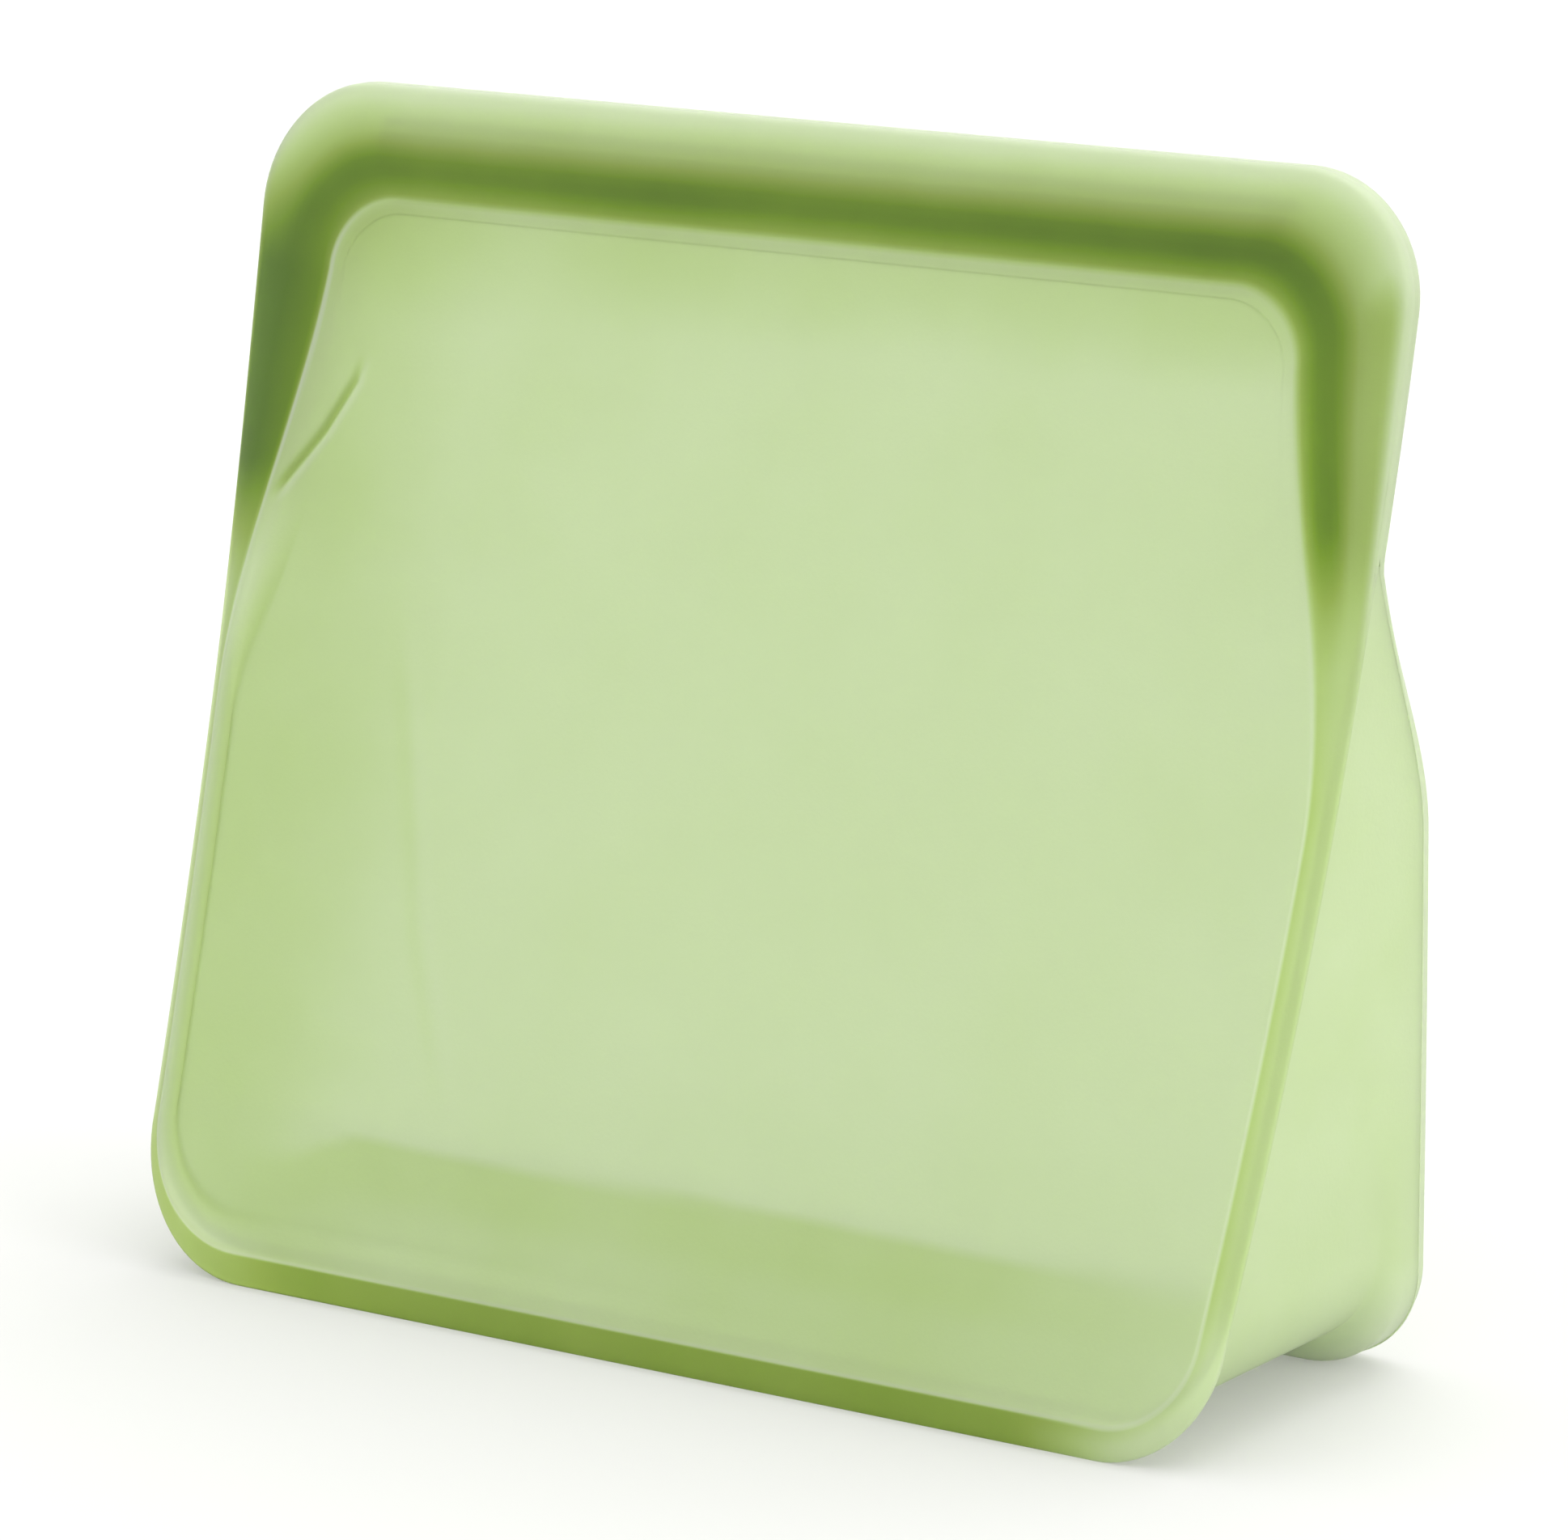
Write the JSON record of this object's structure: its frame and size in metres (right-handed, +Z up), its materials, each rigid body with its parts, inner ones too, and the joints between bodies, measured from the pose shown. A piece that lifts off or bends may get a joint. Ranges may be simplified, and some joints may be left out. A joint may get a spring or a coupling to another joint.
{
  "type": "reusable silicone bag",
  "caption": "Stand-up reusable silicone food bag: two leaning tray-like panels, side gussets, a raised base web and a thick pinch-seal mouth that bows open.",
  "frame": {"origin": "on the surface the bag stands on, under the middle of its bounding box", "axes": "+X to the right when facing the front panel, front faces -Y, +Z up"},
  "size_m": [0.2114, 0.0724, 0.188],
  "materials": {
    "silicone_panel": "satin translucent silicone, thin and pale",
    "silicone_gusset": "satin translucent silicone, thin and pale",
    "silicone_rim": "satin translucent silicone, thicker",
    "silicone_header": "satin translucent silicone, thick and darker green",
    "silicone_seal": "satin translucent silicone, solid section"
  },
  "bodies": {
    "bag": {"front_rim": "silicone_rim", "front_wall_lower": "silicone_panel", "back_rim": "silicone_rim", "back_wall_lower": "silicone_panel", "base_web": "silicone_gusset", "left_gusset": "silicone_gusset", "right_gusset": "silicone_gusset", "left_header_end": "silicone_header", "right_header_end": "silicone_header"},
    "front_mouth_middle": {"front_flap_middle": "silicone_panel", "front_lip_middle": "silicone_header", "seal_ridge_middle": "silicone_seal"},
    "front_mouth_left": {"front_flap_left": "silicone_panel", "front_lip_left": "silicone_header", "seal_ridge_left": "silicone_seal"},
    "front_mouth_right": {"front_flap_right": "silicone_panel", "front_lip_right": "silicone_header", "seal_ridge_right": "silicone_seal"},
    "back_mouth_middle": {"back_flap_middle": "silicone_panel", "back_lip_middle": "silicone_header", "seal_rail_upper_middle": "silicone_seal", "seal_rail_lower_middle": "silicone_seal"},
    "back_mouth_left": {"back_flap_left": "silicone_panel", "back_lip_left": "silicone_header", "seal_rail_upper_left": "silicone_seal", "seal_rail_lower_left": "silicone_seal"},
    "back_mouth_right": {"back_flap_right": "silicone_panel", "back_lip_right": "silicone_header", "seal_rail_upper_right": "silicone_seal", "seal_rail_lower_right": "silicone_seal"}
  },
  "joints": [
    {"name": "front_middle_bend", "type": "hinge", "parent": "bag", "child": "front_mouth_middle", "pos_m": [0, -0.00559, 0.1], "axis": [1, 0, 0], "range_deg": [0, 22], "stiffness_Nm_per_rad": 0.3},
    {"name": "front_left_bend", "type": "hinge", "parent": "bag", "child": "front_mouth_left", "pos_m": [0, -0.00559, 0.1], "axis": [1, 0, 0], "range_deg": [0, 11], "stiffness_Nm_per_rad": 0.1},
    {"name": "front_right_bend", "type": "hinge", "parent": "bag", "child": "front_mouth_right", "pos_m": [0, -0.00559, 0.1], "axis": [1, 0, 0], "range_deg": [0, 11], "stiffness_Nm_per_rad": 0.1},
    {"name": "back_middle_bend", "type": "hinge", "parent": "bag", "child": "back_mouth_middle", "pos_m": [0, 0.02436, 0.1], "axis": [-1, 0, 0], "range_deg": [0, 22], "stiffness_Nm_per_rad": 0.3},
    {"name": "back_left_bend", "type": "hinge", "parent": "bag", "child": "back_mouth_left", "pos_m": [0, 0.02436, 0.1], "axis": [-1, 0, 0], "range_deg": [0, 11], "stiffness_Nm_per_rad": 0.1},
    {"name": "back_right_bend", "type": "hinge", "parent": "bag", "child": "back_mouth_right", "pos_m": [0, 0.02436, 0.1], "axis": [-1, 0, 0], "range_deg": [0, 11], "stiffness_Nm_per_rad": 0.1}
  ],
  "couplings": [
    {"joint": "front_left_bend", "follows": "front_middle_bend", "ratio": 0.5},
    {"joint": "front_right_bend", "follows": "front_middle_bend", "ratio": 0.5},
    {"joint": "back_left_bend", "follows": "back_middle_bend", "ratio": 0.5},
    {"joint": "back_right_bend", "follows": "back_middle_bend", "ratio": 0.5}
  ]
}
